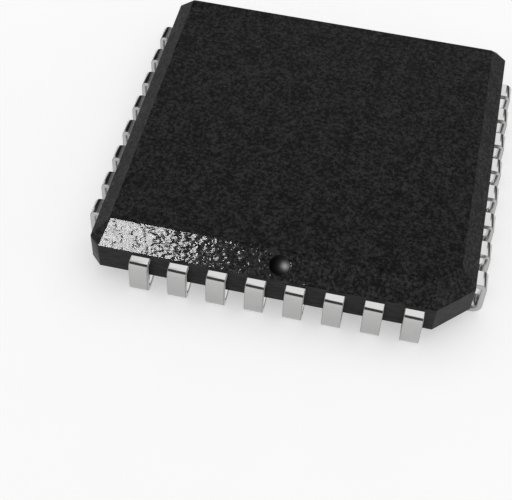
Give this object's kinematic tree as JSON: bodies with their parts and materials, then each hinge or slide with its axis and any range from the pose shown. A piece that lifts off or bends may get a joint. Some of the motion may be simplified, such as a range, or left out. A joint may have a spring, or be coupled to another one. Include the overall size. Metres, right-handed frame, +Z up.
{
  "type": "plastic leaded chip carrier",
  "caption": "Square moulded chip package with a sloped rim, a round index dimple, one large cut corner and rows of J-shaped leads curled under its edges.",
  "frame": {"origin": "centre of the overall footprint, on the seating plane that the lead feet stand on", "axes": "+Z up through the flat top, -Y towards the side with the index dimple, large cut corner at +X, -Y"},
  "size_m": [0.0132, 0.0132, 0.0022],
  "materials": {
    "mould_compound": "black filled epoxy with a fine mottle",
    "tin_plate": "satin tin plate on copper",
    "pad_plate": "satin tin plate on copper",
    "silver_epoxy": "silver-filled glue",
    "silicon": "polished silicon"
  },
  "bodies": {
    "root": {"moulded_body": "mould_compound", "lead_01": "tin_plate", "lead_02": "tin_plate", "lead_03": "tin_plate", "lead_04": "tin_plate", "lead_05": "tin_plate", "lead_06": "tin_plate", "lead_07": "tin_plate", "lead_08": "tin_plate", "lead_09": "tin_plate", "lead_10": "tin_plate", "lead_11": "tin_plate", "lead_12": "tin_plate", "lead_13": "tin_plate", "lead_14": "tin_plate", "lead_15": "tin_plate", "lead_16": "tin_plate", "lead_17": "tin_plate", "lead_18": "tin_plate", "lead_19": "tin_plate", "lead_20": "tin_plate", "lead_21": "tin_plate", "lead_22": "tin_plate", "lead_23": "tin_plate", "lead_24": "tin_plate", "lead_25": "tin_plate", "lead_26": "tin_plate", "lead_27": "tin_plate", "lead_28": "tin_plate", "lead_29": "tin_plate", "lead_30": "tin_plate", "lead_31": "tin_plate", "lead_32": "tin_plate", "die_pad": "pad_plate", "die_glue": "silver_epoxy", "die_and_wires": "silicon"}
  },
  "joints": []
}
